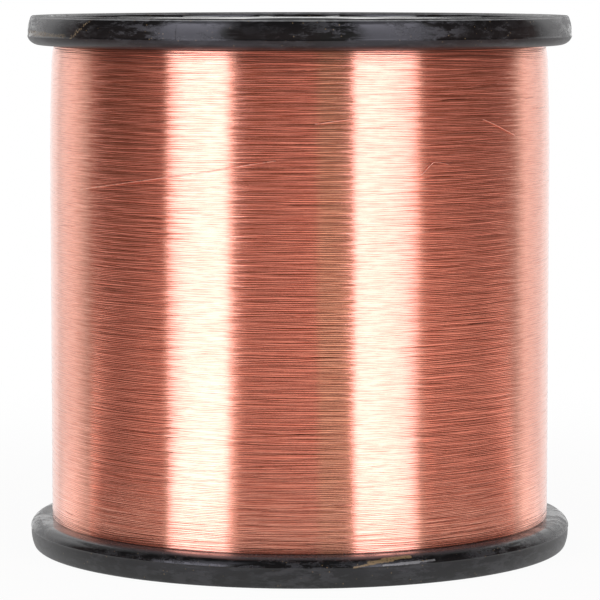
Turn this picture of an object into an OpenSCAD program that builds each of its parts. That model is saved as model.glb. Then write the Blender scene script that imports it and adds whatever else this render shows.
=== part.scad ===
// Moulded plastic wire reel, full of fine enamelled copper wire.
//
// Two like flanges close the ends of a finned barrel. Each has a rounded rim, a ribbed
// ring of pockets behind the wire, and a smooth hub disc with a cone that leads into the
// bore. A hub tube between the two flanges carries the bore.
// The wire fills the reel: packed layers under one outer layer of turns, and the wire's
// finishing end, which lies slantwise over that layer.
//
// Millimetres. The reel stands on its lower rim: the origin is the middle of that face,
// and +Z is the reel's axis. The front of the reel faces -Y.

/* [Reel] */
// Diameter of both flanges
flange_d = 160; // [152:0.5:190]
// Height over both rims
reel_h = 156.5; // [110:0.5:220]
// Outside diameter of the barrel that the wire is wound on
barrel_d = 96; // [90:0.5:112]
// Wall of the barrel
barrel_wall = 3; // [2:0.25:4.5]
// Diameter of the bore for the spindle
bore_d = 22; // [14:0.5:25]
// Wall of the hub tube
hub_wall = 3; // [2:0.25:4]

/* [Flange] */
// Thickness of the rim
rim_t = 8.5; // [7.5:0.25:14]
// Width of the rim, from its outer edge to the recess
rim_w = 7; // [5.5:0.25:9]
// Radius of the rim's edge on the outer face
outer_edge_r = 2.9; // [1:0.1:3.4]
// Radius of the rim's edge on the side of the wire
inner_edge_r = 3.5; // [1:0.1:3.9]
// Radius of the edge where the rim drops into the recess
recess_edge_r = 1.2; // [0.4:0.1:2]
// How far the hub disc and the ribs lie below the face of the rim
recess_depth = 1; // [0.6:0.1:1.6]
// Thickness of the hub disc
disc_t = 3; // [2:0.25:4]
// Thickness of the web that the wire lies against
web_t = 3; // [2:0.25:4]
// Thickness of the radial ribs
rib_t = 2; // [1.2:0.1:3]
// Number of ribs between the hub disc and the rim
ribs = 18; // [6:1:30]
// Wall of the boss that holds the hub tube
boss_wall = 4.5; // [3.5:0.25:5.5]
// Radius of the fillet between the boss and the hub disc
boss_fillet_r = 1.5; // [0.5:0.1:2]
// Depth of the cone that leads into the bore; its sides slope at 45 degrees
cone_depth = 5.35; // [3:0.05:5.4]
// Thickness of the lip that the hub tube seats on
lip_t = 0.8; // [0.5:0.1:1.2]
// Height of the ring that locates the barrel, and of the boss
spigot_h = 6; // [3:0.5:10]
// Thickness of the ring that locates the barrel
spigot_t = 2.4; // [1.5:0.1:3]
// Diameter of the hole for a driving pin
drive_hole_d = 10; // [6:0.5:11]
// Distance from the axis to the middle of the driving hole
drive_hole_offset = 28; // [27:0.5:32]
// Wall round the driving hole
drive_hole_wall = 2.5; // [1.5:0.25:3]
// Width of the slot for the starting end of the wire
start_slot_w = 3.2; // [2:0.1:3.8]
// Length of the slot for the starting end of the wire
start_slot_len = 14; // [8:0.5:18]

/* [Barrel] */
// Number of fins between the sleeve and the barrel's wall
fins = 6; // [3:1:8]
// Thickness of a fin
fin_t = 2.4; // [1.5:0.1:4]
// Wall of the sleeve round the hub tube
sleeve_wall = 2.2; // [1.5:0.1:3]

/* [Wire] */
// Diameter of the winding
wind_d = 147; // [136:0.5:150]
// How much smaller the winding's radius gets at the upper flange
top_fall = 0.85; // [0:0.05:2]
// Height over which the winding falls off at the upper flange
top_fall_h = 35; // [10:1:50]
// Loops of the outer layer, each standing for a band of fine turns
turns = 24; // [8:1:24]
// Thickness of a loop, along the reel's radius
turn_t = 0.6; // [0.5:0.05:1.5]
// Gap between neighbouring loops
turn_gap = 0.45; // [0.45:0.05:1]
// Chamfer along each edge of a loop
turn_chamfer = 0.4; // [0.2:0.05:1.6]
// Diameter of the strand that stands for the wire's finishing end
finish_d = 0.8; // [0.4:0.1:1.5]
// Distance from the upper flange down to the finishing end's higher end
finish_depth = 29; // [10:1:35]
// How far the finishing end climbs
finish_rise = 12; // [4:1:20]
// Angle that the finishing end covers
finish_span = 65; // [20:5:120]

/* [Fits] */
// Clearance of the hub tube in its bosses and sleeve, of the lip, and of the locating ring
fit = 0.15; // [0.05:0.05:0.4]
// Clearance of the winding to the barrel and to the flanges
wind_fit = 0.15; // [0.05:0.05:0.4]

/* [Hidden] */
$fn = 96;

plastic = [0.09, 0.09, 0.095];
plastic_core = [0.17, 0.17, 0.18];
copper = [0.80, 0.45, 0.32];
copper_deep = [0.58, 0.30, 0.21];

eps = 0.01; // how far a cutting tool runs past a face
arc_steps = 8; // flats along a rounded edge in a half section
rib_root = 1; // how far a rib or a fin runs into the wall that it meets
fin_setback = 2; // how far the fins stop short of the sleeve's ends

flange_r = flange_d / 2;
recess_r = flange_r - rim_w;
barrel_r = barrel_d / 2;
barrel_bore_r = barrel_r - barrel_wall;
hub_r = bore_d / 2 + hub_wall;
boss_bore_r = hub_r + fit;
boss_r = boss_bore_r + boss_wall;
spigot_r = barrel_bore_r - fit;
sleeve_bore_r = hub_r + fit;
sleeve_r = sleeve_bore_r + sleeve_wall;
lip_r = bore_d / 2 + fit;
cone_r = lip_r + cone_depth;
seat_z = recess_depth + cone_depth + lip_t; // the hub tube's ends rest here
boss_top = rim_t + spigot_h;
slot_az = 180 / ribs; // midway between two ribs

// The winding's space between the flanges.
wind_z0 = rim_t + wind_fit;
wind_z1 = reel_h - rim_t - wind_fit;
wind_h = wind_z1 - wind_z0;

// The winding's radius at a height: it falls off towards the upper flange.
function wind_r(z) =
    let (t = max(0, (z - wind_z1 + top_fall_h) / top_fall_h))
    wind_d / 2 - top_fall * t * t;

// The outer layer is one flattened tube, wound as a helix over the packed layers.
turn_sides = 6;
turn_rings = 24; // rings in one loop
turn_steps = turns * turn_rings;
turn_pitch = (wind_h + turn_gap) / (turns + 1);
turn_w = turn_pitch - turn_gap;
turn_section = [ // [along the axis, along the radius], measured from the loop's middle
    [-turn_w / 2, 0],
    [-turn_w / 2 + turn_chamfer, turn_t / 2],
    [turn_w / 2 - turn_chamfer, turn_t / 2],
    [turn_w / 2, 0],
    [turn_w / 2 - turn_chamfer, -turn_t / 2],
    [-turn_w / 2 + turn_chamfer, -turn_t / 2],
];
// The flats between the rings of a loop cut inside the circle, so the rings lie as far
// outside it as the middle of a flat lies inside.
chord_share = cos(180 / turn_rings);
ring_rise = wind_d / 2 * (1 / chord_share - 1) / 2;
turn_ring_points = [
    for (i = [0:turn_steps])
        let (
            az = 360 * i / turn_rings,
            z = wind_z0 + turn_w / 2 + turn_pitch * i / turn_rings,
            r = wind_r(z) + ring_rise - turn_t / 2
        )
        [for (s = turn_section) [(r + s[1]) * cos(az), (r + s[1]) * sin(az), z + s[0]]]
];

// The packed layers' radius at a height: just inside the flats of the outer layer.
function core_r(z) = (wind_r(z) + ring_rise - turn_t) * chord_share - wind_fit;
core_steps = 16;

// The finishing end lies on the outer layer, at the front left of the reel.
finish_sides = 6;
finish_steps = 26;
finish_az = -152;
finish_z1 = wind_z1 - finish_depth;
finish_ring_points = [
    for (i = [0:finish_steps])
        let (
            u = i / finish_steps,
            az = finish_az + finish_span * u,
            z = finish_z1 - finish_rise * (1 - u),
            r = wind_r(z) + ring_rise + finish_d / 2 + wind_fit
        )
        [
            for (k = [0:finish_sides - 1])
                let (
                    out = finish_d / 2 * cos(360 * k / finish_sides),
                    up = finish_d / 2 * sin(360 * k / finish_sides)
                )
                [(r + out) * cos(az), (r + out) * sin(az), z + up]
        ]
];

// Least distance between the corners of two loops that lie side by side.
loop_gaps = [
    for (i = [0:turn_steps - turn_rings])
        min([
            for (a = turn_ring_points[i], b = turn_ring_points[i + turn_rings]) norm(a - b)
        ])
];
echo(outer_turns_least_gap_to_itself_mm = min(loop_gaps));

// One unbroken tube through rings of points, each ring run round the same way. Seen from
// the tube's start, the rings run clockwise.
module tube(rings, sides) {
    last = len(rings) - 1;
    walls = [
        for (i = [0:last - 1], k = [0:sides - 1])
            let (
                a = i * sides + k,
                b = i * sides + (k + 1) % sides
            )
            each [[a, b, b + sides], [a, b + sides, a + sides]]
    ];
    start_cap = [for (k = [1:sides - 2]) [0, k + 1, k]];
    end_cap = [for (k = [1:sides - 2]) [last * sides, last * sides + k, last * sides + k + 1]];
    polyhedron(points = [for (ring = rings) each ring], faces = concat(walls, start_cap, end_cap));
}

// A straight rib that runs outwards from one radius to another.
module rib(r_from, r_to, thickness, z_from, z_to) {
    translate([r_from, -thickness / 2, z_from])
        cube([r_to - r_from, thickness, z_to - z_from]);
}

// Points along an arc in a half section, from one angle to another.
function arc(centre, r, from, to) = [
    for (i = [0:arc_steps])
        let (a = from + (to - from) * i / arc_steps)
        [centre[0] + r * cos(a), centre[1] + r * sin(a)]
];

// Half section of the rim: outer face at 0, the side of the wire at rim_t.
module rim_section() {
    recess_edge = [recess_r + recess_edge_r, recess_edge_r];
    outer_edge = [flange_r - outer_edge_r, outer_edge_r];
    inner_edge = [flange_r - inner_edge_r, rim_t - inner_edge_r];
    polygon(concat(
        arc(recess_edge, recess_edge_r, 180, 270),
        arc(outer_edge, outer_edge_r, 270, 360),
        arc(inner_edge, inner_edge_r, 0, 90),
        [[recess_r, rim_t]]
    ));
}

// Half section of the hub: the cone, the lip that the hub tube seats on, the boss round the
// tube, and the fillet at its foot on the hub disc.
module hub_section() {
    disc_z = recess_depth + disc_t;
    fillet_centre = [boss_r + boss_fillet_r, disc_z + boss_fillet_r];
    polygon(concat(
        [
            [boss_bore_r, boss_top],
            [boss_bore_r, seat_z],
            [lip_r, seat_z],
            [lip_r, seat_z - lip_t],
            [cone_r, recess_depth],
            [boss_r + boss_fillet_r, recess_depth],
        ],
        arc(fillet_centre, boss_fillet_r, 270, 180),
        [[boss_r, boss_top]]
    ));
}

// A flange as it lies at the bottom of the reel, its outer face down.
module flange() {
    ring_r = spigot_r - spigot_t;
    difference() {
        union() {
            rotate_extrude() {
                rim_section();
                hub_section();
                translate([boss_r, recess_depth])
                    square([ring_r + rib_root - boss_r, disc_t]);
                translate([ring_r, recess_depth])
                    square([barrel_r - ring_r, rim_t - recess_depth]);
                translate([ring_r, rim_t - web_t])
                    square([recess_r + rib_root - ring_r, web_t]);
                translate([ring_r, rim_t - eps])
                    square([spigot_t, spigot_h + eps]);
            }
            for (i = [0:ribs - 1])
                rotate(360 * i / ribs)
                    rib(barrel_r - rib_root, recess_r + rib_root, rib_t, recess_depth, rim_t - eps);
            translate([drive_hole_offset, 0, recess_depth + eps])
                cylinder(d = drive_hole_d + 2 * drive_hole_wall, h = rim_t - recess_depth - eps);
        }
        translate([drive_hole_offset, 0, -eps])
            cylinder(d = drive_hole_d, h = rim_t + 2 * eps);
        rotate(slot_az)
            translate([barrel_r + start_slot_w / 2, -start_slot_w / 2, -eps])
                cube([start_slot_len - start_slot_w, start_slot_w, rim_t + 2 * eps]);
        for (x = [start_slot_w / 2, start_slot_len - start_slot_w / 2])
            rotate(slot_az)
                translate([barrel_r + x, 0, -eps])
                    cylinder(d = start_slot_w, h = rim_t + 2 * eps);
    }
}

module lower_flange() {
    color(plastic)
        flange();
}

module upper_flange() {
    color(plastic)
        translate([0, 0, reel_h])
            mirror([0, 0, 1])
                flange();
}

// The barrel's sleeve and fins stop short of the flanges' bosses and locating rings. The
// driving holes open midway between two fins.
module barrel() {
    length = reel_h - 2 * rim_t;
    relief = spigot_h + fit;
    fin_end = relief + fin_setback;
    color(plastic_core)
        translate([0, 0, rim_t]) {
            difference() {
                cylinder(r = barrel_r, h = length);
                translate([0, 0, -eps])
                    cylinder(r = barrel_bore_r, h = length + 2 * eps);
            }
            translate([0, 0, relief])
                difference() {
                    cylinder(r = sleeve_r, h = length - 2 * relief);
                    translate([0, 0, -eps])
                        cylinder(r = sleeve_bore_r, h = length - 2 * relief + 2 * eps);
                }
            for (i = [0:fins - 1])
                rotate(360 * (i + 0.5) / fins)
                    rib(sleeve_r - rib_root, barrel_bore_r + rib_root, fin_t, fin_end, length - fin_end);
        }
}

// The hub tube runs from lip to lip and carries the bore.
module hub_tube() {
    length = reel_h - 2 * seat_z;
    color(plastic_core)
        translate([0, 0, seat_z])
            difference() {
                cylinder(r = hub_r, h = length);
                translate([0, 0, -eps])
                    cylinder(d = bore_d, h = length + 2 * eps);
            }
}

// The packed layers of wire, as one plain ring under the outer layer.
module inner_layers() {
    inside_r = barrel_r + wind_fit;
    outside = [
        for (i = [0:core_steps])
            let (z = wind_z0 + wind_h * i / core_steps)
            [core_r(z), z]
    ];
    color(copper_deep)
        rotate_extrude()
            polygon(concat([[inside_r, wind_z1], [inside_r, wind_z0]], outside));
}

module outer_turns() {
    color(copper)
        tube(turn_ring_points, turn_sides);
}

module finish_end() {
    color(copper)
        tube(finish_ring_points, finish_sides);
}

lower_flange();
upper_flange();
barrel();
hub_tube();
inner_layers();
outer_turns();
finish_end();
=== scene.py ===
"""Dresses the packed wire reel: black moulded flanges, a fine copper winding, the stage and
the camera.

Lengths are metres in the frame of the packed model: the reel stands on z = 0, its axis is +Z
and its front faces -Y. An azimuth is measured round the axis from the front, -Y, towards +X.
"""

import itertools
import math

import bpy
import numpy as np
from bpy.props import FloatProperty, FloatVectorProperty, IntProperty, PointerProperty
from mathutils import Matrix, Vector


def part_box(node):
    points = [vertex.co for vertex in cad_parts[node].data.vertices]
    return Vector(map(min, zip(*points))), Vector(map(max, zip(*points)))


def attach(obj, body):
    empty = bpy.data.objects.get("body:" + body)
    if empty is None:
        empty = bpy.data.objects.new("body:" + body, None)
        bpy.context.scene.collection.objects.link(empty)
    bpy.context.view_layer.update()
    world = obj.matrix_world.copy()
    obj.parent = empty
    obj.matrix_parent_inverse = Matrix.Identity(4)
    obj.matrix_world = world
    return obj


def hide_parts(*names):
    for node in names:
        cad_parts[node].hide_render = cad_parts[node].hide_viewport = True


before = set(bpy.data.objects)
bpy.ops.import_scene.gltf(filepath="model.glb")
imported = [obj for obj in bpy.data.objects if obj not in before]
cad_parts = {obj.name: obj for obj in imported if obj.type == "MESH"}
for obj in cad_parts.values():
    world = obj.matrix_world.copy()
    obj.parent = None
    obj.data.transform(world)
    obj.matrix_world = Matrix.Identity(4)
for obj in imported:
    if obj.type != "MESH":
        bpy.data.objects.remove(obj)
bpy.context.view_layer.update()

bl_info = {
    "name": "Copper wire reel",
    "version": (1, 0, 0),
    "blender": (4, 5, 0),
    "location": "View3D > Sidebar > Wire reel",
    "description": "Dresses a moulded plastic reel that is full of fine copper wire",
    "category": "Object",
}

BODY = "root"
MM = 0.001

# Heights that the packed model gives.
REEL_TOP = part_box("upper_flange")[1].z
TUBE_BOTTOM, TUBE_TOP = (corner.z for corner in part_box("hub_tube"))
BARREL_BOTTOM, BARREL_TOP = (corner.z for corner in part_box("barrel"))


def number(name, description, default, low=0.0, high=100.0, **kind):
    """A number that the sidebar shows."""
    return FloatProperty(
        name=name, description=description, default=default, min=low, max=high, **kind
    )


def length(name, description, mm, high=1.0):
    """A size, here in mm, that is kept in metres."""
    kind = {"precision": 5, "unit": "LENGTH", "subtype": "DISTANCE"}
    return number(name, description, mm * MM, 0.0, high, **kind)


def turn_angle(name, description, degrees):
    """An angle, here in degrees, that is kept in radians."""
    whole = 2 * math.pi
    kind = {"unit": "ROTATION", "subtype": "ANGLE"}
    return number(name, description, math.radians(degrees), -whole, whole, **kind)


def whole_number(name, description, default, low, high):
    """A whole number that the sidebar shows."""
    return IntProperty(name=name, description=description, default=default, min=low, max=high)


def colour(name, description, default, high=1.0):
    """A linear colour that the sidebar shows."""
    kind = {"min": 0.0, "max": high, "size": 3, "subtype": "COLOR"}
    return FloatVectorProperty(name=name, description=description, default=default, **kind)


class ReelSizes(bpy.types.PropertyGroup):
    """Sizes of the moulded reel."""

    flange_d: length("Flange diameter", "Diameter of both flanges", 160)
    rim_t: length("Rim thickness", "Thickness of a flange's rim", BARREL_BOTTOM / MM)
    rim_w: length("Rim width", "Width of the rim, from its edge to the recess", 7)
    outer_edge_r: length("Outer edge", "Radius of the rim's edge on the outer face", 1.4)
    crown_r: length("Crown", "Radius of the rim's crowned side", 10)
    crown_angle: turn_angle("Crown angle", "How far the crowned side leans at its edge", 22)
    inner_edge_h: length("Inner edge", "Height of the rounding beside the wire", 2.6)
    inner_edge_w: length("Inner edge width", "Width of the rounding beside the wire", 3.5)
    step: length("Step", "How far the rounding stands out from the rim's side", 0.15)
    recess_edge_r: length("Recess edge", "Radius where the rim drops to the recess", 1.2)
    recess_depth: length("Recess", "From the rim's face to the hub disc and ribs", 1)
    disc_t: length("Hub disc", "Thickness of the hub disc", 3)
    web_t: length("Web", "Thickness of the web behind the wire", 3)
    rib_t: length("Rib thickness", "Thickness of the radial ribs", 2)
    ribs: whole_number("Ribs", "Ribs between the hub disc and the rim", 18, 6, 60)
    barrel_d: length("Barrel diameter", "Outside diameter of the barrel", 96)
    barrel_wall: length("Barrel wall", "Wall of the barrel", 3)
    bore_d: length("Bore", "Diameter of the spindle's bore", 22)
    hub_wall: length("Hub wall", "Wall of the hub tube", 3)
    boss_wall: length("Boss wall", "Wall of the boss round the hub tube", 4.5)
    boss_fillet_r: length("Boss fillet", "Fillet at the boss's foot", 1.5)
    cone_depth: length("Cone", "Depth of the cone that leads into the bore", 5.35)
    lip_t: length("Lip", "Thickness of the lip that the hub tube seats on", 0.8)
    spigot_h: length("Spigot height", "Height of the ring that locates the barrel", 6)
    spigot_t: length("Spigot", "Thickness of the ring that locates the barrel", 2.4)
    drive_hole_d: length("Driving hole", "Diameter of the driving hole", 10)
    drive_hole_offset: length("Driving hole offset", "From the axis to the hole", 28)
    drive_hole_wall: length("Driving hole wall", "Wall round the driving hole", 2.5)
    start_slot_w: length("Slot width", "Width of the slot for the wire's start", 3.2)
    start_slot_len: length("Slot length", "Length of the slot for the wire's start", 14)
    fit: length("Fit", "Clearance round the hub tube and the spigots", 0.15)


class WindingSizes(bpy.types.PropertyGroup):
    """Sizes of the wound wire."""

    wind_d: length("Winding diameter", "Diameter of the winding", 147.25)
    top_fall: length("Fall at the top", "How much the radius falls at the top", 0.85)
    top_fall_h: length("Fall height", "Height over which the radius falls", 35)
    edge_fall: length("Fall at the flange", "How much the last turns dip at the top", 0.45)
    edge_fall_h: length("Edge height", "Height over which the last turns dip", 5.0)
    turns: whole_number("Turns", "Turns shown in the outer layer", 300, 20, 600)
    groove: length("Groove", "Depth of the groove between two turns", 0.09)
    sway: length("Sway", "How far a turn sways along the axis", 0.12)
    drift: length("Drift", "How far bands of turns drift along the axis", 0.06)
    slack: number("Slack", "Slope of a turn's radial waves, rise over run", 0.0030, 0.0, 0.2)
    finish_d: length("Finishing end", "Diameter of the wire's finishing end", 0.28)
    hair_d: length("Loose hair", "Diameter of a loose hair of wire", 0.2)


class ReelColours(bpy.types.PropertyGroup):
    """Colours of the finishes."""

    plastic: colour("Plastic", "Black moulded plastic", (0.006, 0.006, 0.0065))
    # The haze colour is real wear, scratches and dust, and also painted reflection on the rim's
    # sides and beside the lowest turns.
    haze_and_painted_sheen: colour("Plastic haze", "Rubbed and dusty plastic, and painted sheen", (0.050, 0.050, 0.055))
    scuff: colour("Scuff", "Tan smears and dust on the rims", (0.24, 0.165, 0.085))
    # A pale colour for real rubs on the lower rim, and for a painted highlight along the upper
    # rim's corner.
    rubs_and_painted_highlight: colour("Rubs and painted highlight", "Plastic rubbed pale along the rim's corner", (0.20, 0.20, 0.205))
    copper: colour("Copper", "Crests of the enamelled turns", (0.95, 0.42, 0.295))
    # The deep colour is the wire's random deeper tone, and also painted shade between the turns.
    deep_copper_and_groove_shade: colour("Deep copper and groove shade", "Random deeper tone, and painted shade between the turns", (0.55, 0.12, 0.06))
    hair: colour("Bare wire", "Loose ends that catch the light", (0.92, 0.55, 0.42))


class StageSettings(bpy.types.PropertyGroup):
    """Camera, lamps and backdrop."""

    camera_distance: length("Camera distance", "From the reel's axis", 989.5, 10.0)
    camera_height: length("Camera height", "Above the floor", 169.45, 10.0)
    camera_pitch: turn_angle("Camera pitch", "How far the camera looks down", 5.609)
    camera_lens: number("Camera lens", "Focal length in mm on a 36 mm sensor", 200.95, 1, 1000)
    camera_shift: number("Camera shift", "Sideways shift of the frame", 0.0005, -1.0, 1.0)
    softbox_radiance: number("Softbox brightness", "Radiance of a softbox's lamp", 4.0)
    softbox_distance: length("Softbox distance", "From the reel's axis", 1300, 10.0)
    softbox_top: length("Softbox top", "Height of a softbox's upper edge", 800, 10.0)
    left_from: turn_angle("Left softbox, outer edge", "Azimuth of its outer edge", -61.0)
    left_to: turn_angle("Left softbox, inner edge", "Azimuth of its inner edge", -27.5)
    right_from: turn_angle("Right softbox, inner edge", "Azimuth of its inner edge", 22.8)
    right_to: turn_angle("Right softbox, outer edge", "Azimuth of its outer edge", 57.0)
    room_glow: number("Room", "Brightness of the room that the reel mirrors", 1.0)
    room_tint: colour("Room tint", "Colour of the dim room in front", (1.0, 0.69, 0.65))
    plain_tint: colour("Plain tint", "Colour of the plain part of the dim room", (1.0, 0.92, 0.80))
    side_tint: colour("Side tint", "Colour of the room's pale sides", (1.0, 0.99, 1.0))
    softbox_tint: colour("Softbox tint", "Colour of the mirrored softboxes", (1.0, 0.98, 1.14), 2.0)
    fill: number("Fill", "Brightness of the even light from all round", 0.35)
    floor: colour("Floor", "Pale floor", (0.80, 0.80, 0.80))


def settings():
    """The four groups of settings, in the order reel, wire, colours, stage."""
    scene = bpy.context.scene
    return scene.reel_sizes, scene.wire_sizes, scene.reel_colours, scene.reel_stage


# --- Node trees ---


class Nodes:
    """A node tree with short calls to add and join its nodes."""

    def __init__(self, tree):
        self.tree = tree
        tree.nodes.clear()

    def add(self, kind, sockets=None, **values):
        """A new node. sockets maps an input's name or index to a value or to an output."""
        made = self.tree.nodes.new("ShaderNode" + kind)
        for name, value in values.items():
            setattr(made, name, value)
        for key, value in (sockets or {}).items():
            if isinstance(value, bpy.types.NodeSocket):
                self.tree.links.new(value, made.inputs[key])
            else:
                made.inputs[key].default_value = value
        return made

    def math(self, operation, a, b=0.0):
        """The result of a sum on one or two numbers."""
        return self.add("Math", {0: a, 1: b}, operation=operation).outputs[0]

    def times(self, a, b):
        """The product of two numbers."""
        return self.math("MULTIPLY", a, b)

    def plus(self, a, b):
        """The sum of two numbers."""
        return self.math("ADD", a, b)

    def larger(self, a, b):
        """The larger of two numbers."""
        return self.math("MAXIMUM", a, b)

    def vector(self, operation, a, b=(0.0, 0.0, 0.0)):
        """The vector result of a sum on vectors."""
        return self.add("VectorMath", {0: a, 1: b}, operation=operation).outputs[0]

    def length_of(self, a, b):
        """The distance between two points."""
        return self.add("VectorMath", {0: a, 1: b}, operation="DISTANCE").outputs["Value"]

    def ramp(self, value, low, high, to_low=0.0, to_high=1.0):
        """value taken smoothly from low..high to to_low..to_high, and held outside."""
        ends = {"From Min": low, "From Max": high, "To Min": to_low, "To Max": to_high}
        made = self.add("MapRange", {"Value": value, **ends}, interpolation_type="SMOOTHSTEP")
        return made.outputs["Result"]

    def band(self, value, rise, fall):
        """1 where value lies between two fades, each given as where it starts and ends."""
        return self.times(self.ramp(value, *rise), self.ramp(value, *fall, 1.0, 0.0))

    def mix(self, share, a, b):
        """Colour a, or b where share is 1."""
        made = self.add("Mix", {0: share, 6: a, 7: b}, data_type="RGBA")
        return made.outputs[2]

    def place(self):
        """A point's place in the object, which is its place in the reel."""
        return self.add("TexCoord").outputs["Object"]

    def attribute(self, name):
        """A number that the mesh carries."""
        return self.add("Attribute", attribute_name=name).outputs["Fac"]

    def seen(self):
        """1 for rays from the camera, from reflections and through glass, or 0 for light."""
        path = self.add("LightPath").outputs
        direct = self.larger(path["Is Camera Ray"], path["Is Glossy Ray"])
        return self.larger(direct, path["Is Transmission Ray"])

    def noise(self, place, stretch, detail=2.0, roughness=0.5):
        """Noise whose features are 1 / stretch long along X, Y and Z."""
        scaled = self.vector("MULTIPLY", place, stretch)
        sockets = {"Vector": scaled, "Scale": 1.0, "Detail": detail, "Roughness": roughness}
        return self.add("TexNoise", sockets).outputs["Fac"]

    def noise_along(self, along, size):
        """Noise along a wire, with features of about a size in metres."""
        sockets = {"W": self.math("DIVIDE", along, size), "Scale": 1.0, "Detail": 2.0}
        return self.add("TexNoise", sockets, noise_dimensions="1D").outputs["Fac"]

    def bump(self, height, distance, strength=1.0):
        """A normal from a height map."""
        made = self.add("Bump", {"Height": height, "Distance": distance, "Strength": strength})
        return made.outputs["Normal"]


def new_material(name):
    """An empty node material and its tree."""
    material = bpy.data.materials.new(name)
    material.use_nodes = True
    return material, Nodes(material.node_tree)


def finish_material(nodes, shader):
    """Joins the shader to the material's output."""
    nodes.add("OutputMaterial", {"Surface": shader.outputs[0]})


def principled(material, nodes, sockets):
    """Finishes a material with a principled shader."""
    finish_material(nodes, nodes.add("BsdfPrincipled", sockets))
    return material


def rgba(rgb):
    """A colour with full alpha, as a node socket wants it."""
    return (*rgb, 1.0)


# --- Meshes ---


def on_cylinder(r, azimuth, z):
    """The point at an azimuth in radians, measured from the front towards +X."""
    return Vector((r * math.sin(azimuth), -r * math.cos(azimuth), z))


def link(name, data):
    """A new object in the scene."""
    made = bpy.data.objects.new(name, data)
    bpy.context.scene.collection.objects.link(made)
    return made


def carry(mesh, domain, **numbers):
    """Gives each point or corner of a mesh the numbers that its material reads."""
    for name, values in numbers.items():
        attribute = mesh.attributes.new(name, "FLOAT", domain)
        attribute.data.foreach_set("value", np.ravel(values).astype(np.float32))


def new_piece(name, vertices, faces, crease_degrees=35.0):
    """A mesh object with smooth faces and sharp creases."""
    mesh = bpy.data.meshes.new(name)
    mesh.from_pydata([tuple(v) for v in vertices], [], faces)
    mesh.shade_smooth()
    mesh.set_sharp_from_angle(angle=math.radians(crease_degrees))
    mesh.update()
    return link(name, mesh)


def quads(rows, count, closed=True):
    """Faces between neighbouring rows of count points, each row closed or left open."""
    faces = []
    for j in range(rows - 1):
        for i in range(count if closed else count - 1):
            a, b = j * count + i, j * count + (i + 1) % count
            faces.append((a, b, b + count, a + count))
    return faces


def capped(rows, count):
    """Faces of a closed bar: those between its rows of points, and its two ends."""
    ends = [tuple(range(count))[::-1], tuple(range((rows - 1) * count, rows * count))]
    return quads(rows, count) + ends


def lathe(name, outline, segments):
    """A closed ring: an outline of (radius, height), run anticlockwise, turned about +Z."""
    vertices = [
        (r * math.cos(a), r * math.sin(a), z)
        for a in (2 * math.pi * j / segments for j in range(segments))
        for r, z in outline
    ]
    last = len(vertices)
    faces = quads(segments + 1, len(outline))
    faces = [(a, d % last, c % last, b) for a, b, c, d in faces]
    return new_piece(name, vertices, faces)


def arc(centre, r, start, stop, steps=6):
    """Points of (radius, height) along an arc, from one angle in degrees to another."""
    angles = [math.radians(start + (stop - start) * i / steps) for i in range(steps + 1)]
    return [(centre[0] + r * math.cos(a), centre[1] + r * math.sin(a)) for a in angles]


def rounded_bar(name, low, high, r, rotation):
    """A box whose edges are rounded, turned about +Z."""
    corners = list(itertools.product(*zip(low, high)))
    faces = [(0, 1, 3, 2), (4, 6, 7, 5), (0, 4, 5, 1), (2, 3, 7, 6), (0, 2, 6, 4), (1, 5, 7, 3)]
    made = new_piece(name, corners, faces)
    bevel = made.modifiers.new("edges", "BEVEL")
    bevel.width = r
    bevel.segments = 3
    apply_modifiers(made)
    made.data.transform(Matrix.Rotation(rotation, 4, "Z"))
    return made


def apply_modifiers(made):
    """Bakes an object's modifiers into its mesh."""
    graph = bpy.context.evaluated_depsgraph_get()
    mesh = bpy.data.meshes.new_from_object(made.evaluated_get(graph))
    old = made.data
    made.modifiers.clear()
    made.data = mesh
    bpy.data.meshes.remove(old)


def cut_or_join(body, tool, operation):
    """Boolean of two closed meshes. The tool is used up."""
    boolean = body.modifiers.new(operation.lower(), "BOOLEAN")
    boolean.operation = operation
    boolean.solver = "MANIFOLD"
    boolean.object = tool
    apply_modifiers(body)
    bpy.data.objects.remove(tool)


def tube(name, points, radii, sides=8):
    """A closed tube through points, with a radius at each."""
    vertices, last = [], len(points) - 1
    for i, (point, r) in enumerate(zip(points, radii)):
        along = (points[min(i + 1, last)] - points[max(i - 1, 0)]).normalized()
        side = along.cross(Vector((0, 0, 1))).normalized()
        up = side.cross(along)
        for k in range(sides):
            a = 2 * math.pi * k / sides
            vertices.append(point + r * (math.cos(a) * side + math.sin(a) * up))
    return new_piece(name, vertices, capped(len(points), sides), 60.0)


def dress(piece, material, slot, *nodes):
    """Gives a piece its finish, hangs it on the body that it rides on, and hides the packed parts
    that it replaces.
    """
    piece.data.materials.clear()
    piece.data.materials.append(material)
    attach(piece, BODY)
    if nodes:
        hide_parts(*nodes)
    return piece


# --- Flanges ---

FLANGE_SEGMENTS = 288
SOFT_EDGE = 0.5 * MM  # moulded edges of the boss, ring and ribs
SOFT_FILLET = 0.7 * MM  # moulded fillets at the foot of the ring and the rim
CORNER = math.radians(34)  # at which the rim's outer edge meets its flat face
CREASE = math.radians(13)  # at which the rounding beside the wire starts
STEP_H = 0.45 * MM  # height of the slope of the rim's step
RIB_ROOT = 1.0 * MM  # how far a rib runs into the walls that it meets
HOLE_EDGE = 0.4 * MM  # how much the driving hole flares


def flange_radii(reel):
    """Radii that the section and the ribs share: ring's inside and outside, and recess."""
    ring_out = reel.barrel_d / 2
    ring_in = ring_out - reel.barrel_wall - reel.fit - reel.spigot_t
    return ring_in, ring_out, reel.flange_d / 2 - reel.rim_w


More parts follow.
